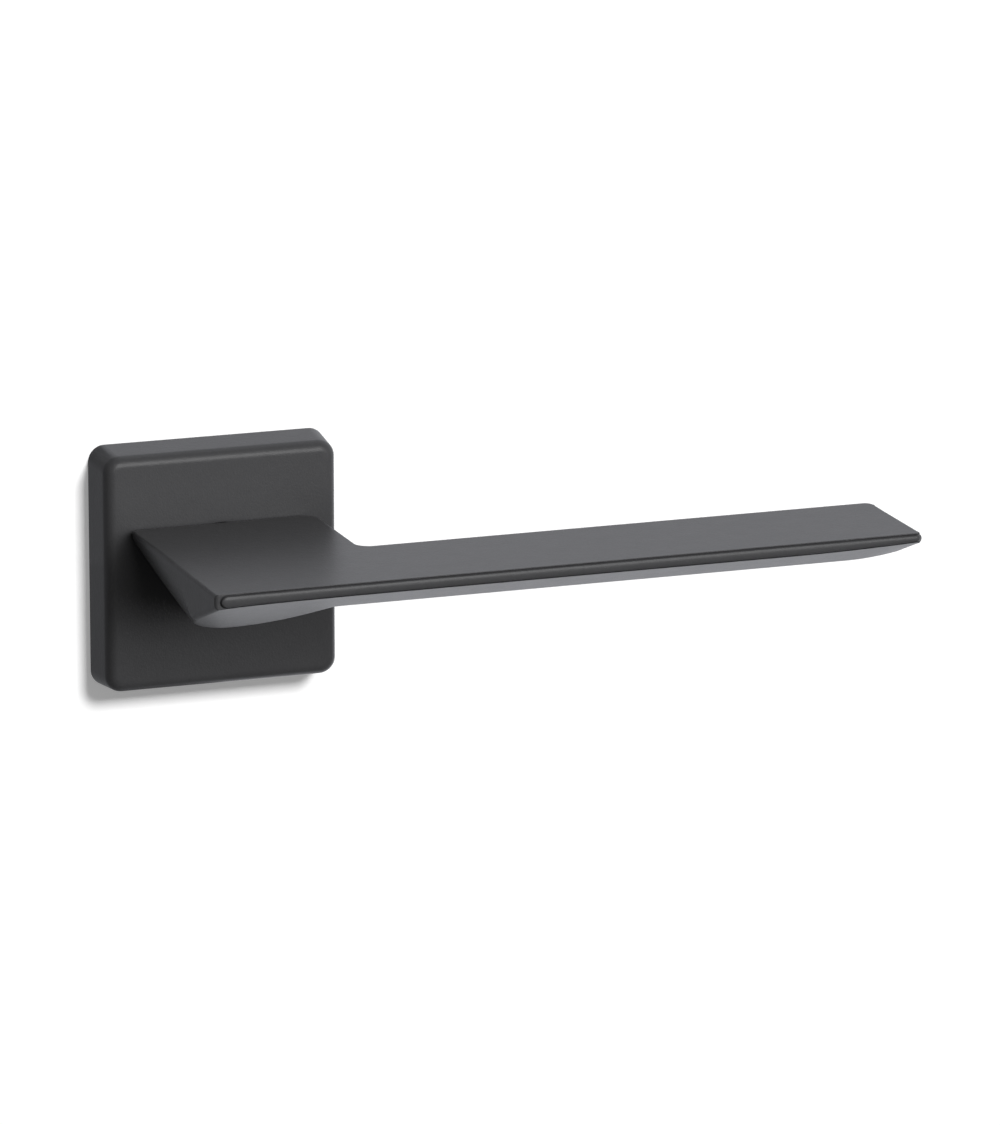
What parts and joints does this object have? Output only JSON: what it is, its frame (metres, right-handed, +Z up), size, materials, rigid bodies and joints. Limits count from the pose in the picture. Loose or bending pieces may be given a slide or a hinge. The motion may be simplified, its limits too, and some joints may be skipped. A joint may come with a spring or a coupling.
{
  "type": "door lever handle",
  "caption": "Flat black door lever with a keeled underside on a square sprung rose, with an 8 mm square spindle and bolt-through fixing at 38 mm centres.",
  "frame": {"origin": "spindle axis at the door's face, which is the plane of the rose's back", "axes": "+X along the lever towards its tip, +Y into the door, +Z up; the hand is on the -Y side"},
  "size_m": [0.1545, 0.1346, 0.05],
  "materials": {
    "black_coat": "fine matte powder coat",
    "black_steel": "black oxide",
    "zinc_steel": "bright zinc plate",
    "spring_steel": "oiled spring steel",
    "cast_zinc": "die-cast, satin",
    "black_nylon": "moulded",
    "foam": "closed-cell foam"
  },
  "bodies": {
    "rose": {"rose_cover": "black_coat", "guide_ring": "black_nylon", "base_plate": "cast_zinc", "backing_gasket": "foam", "stop_pins": "spring_steel", "spring_anchor_pin": "spring_steel", "return_spring": "spring_steel", "cassette_cover": "zinc_steel", "cassette_rivets": "zinc_steel", "thrust_washer": "black_nylon", "fixing_screws": "zinc_steel", "screw_washers": "zinc_steel", "cover_clips": "spring_steel"},
    "lever": {"lever_handle": "black_coat", "lever_grub_screw": "black_steel", "spindle": "zinc_steel", "spring_driver": "zinc_steel", "retaining_ring": "spring_steel", "wave_washer": "spring_steel"}
  },
  "joints": [
    {"name": "lever_turn", "type": "hinge", "parent": "rose", "child": "lever", "pos_m": [0, 0, 0], "axis": [0, 1, 0], "range_deg": [0, 45], "stiffness_Nm_per_rad": 1.1, "springref_deg": -31.51, "deforming": ["return_spring"]}
  ]
}
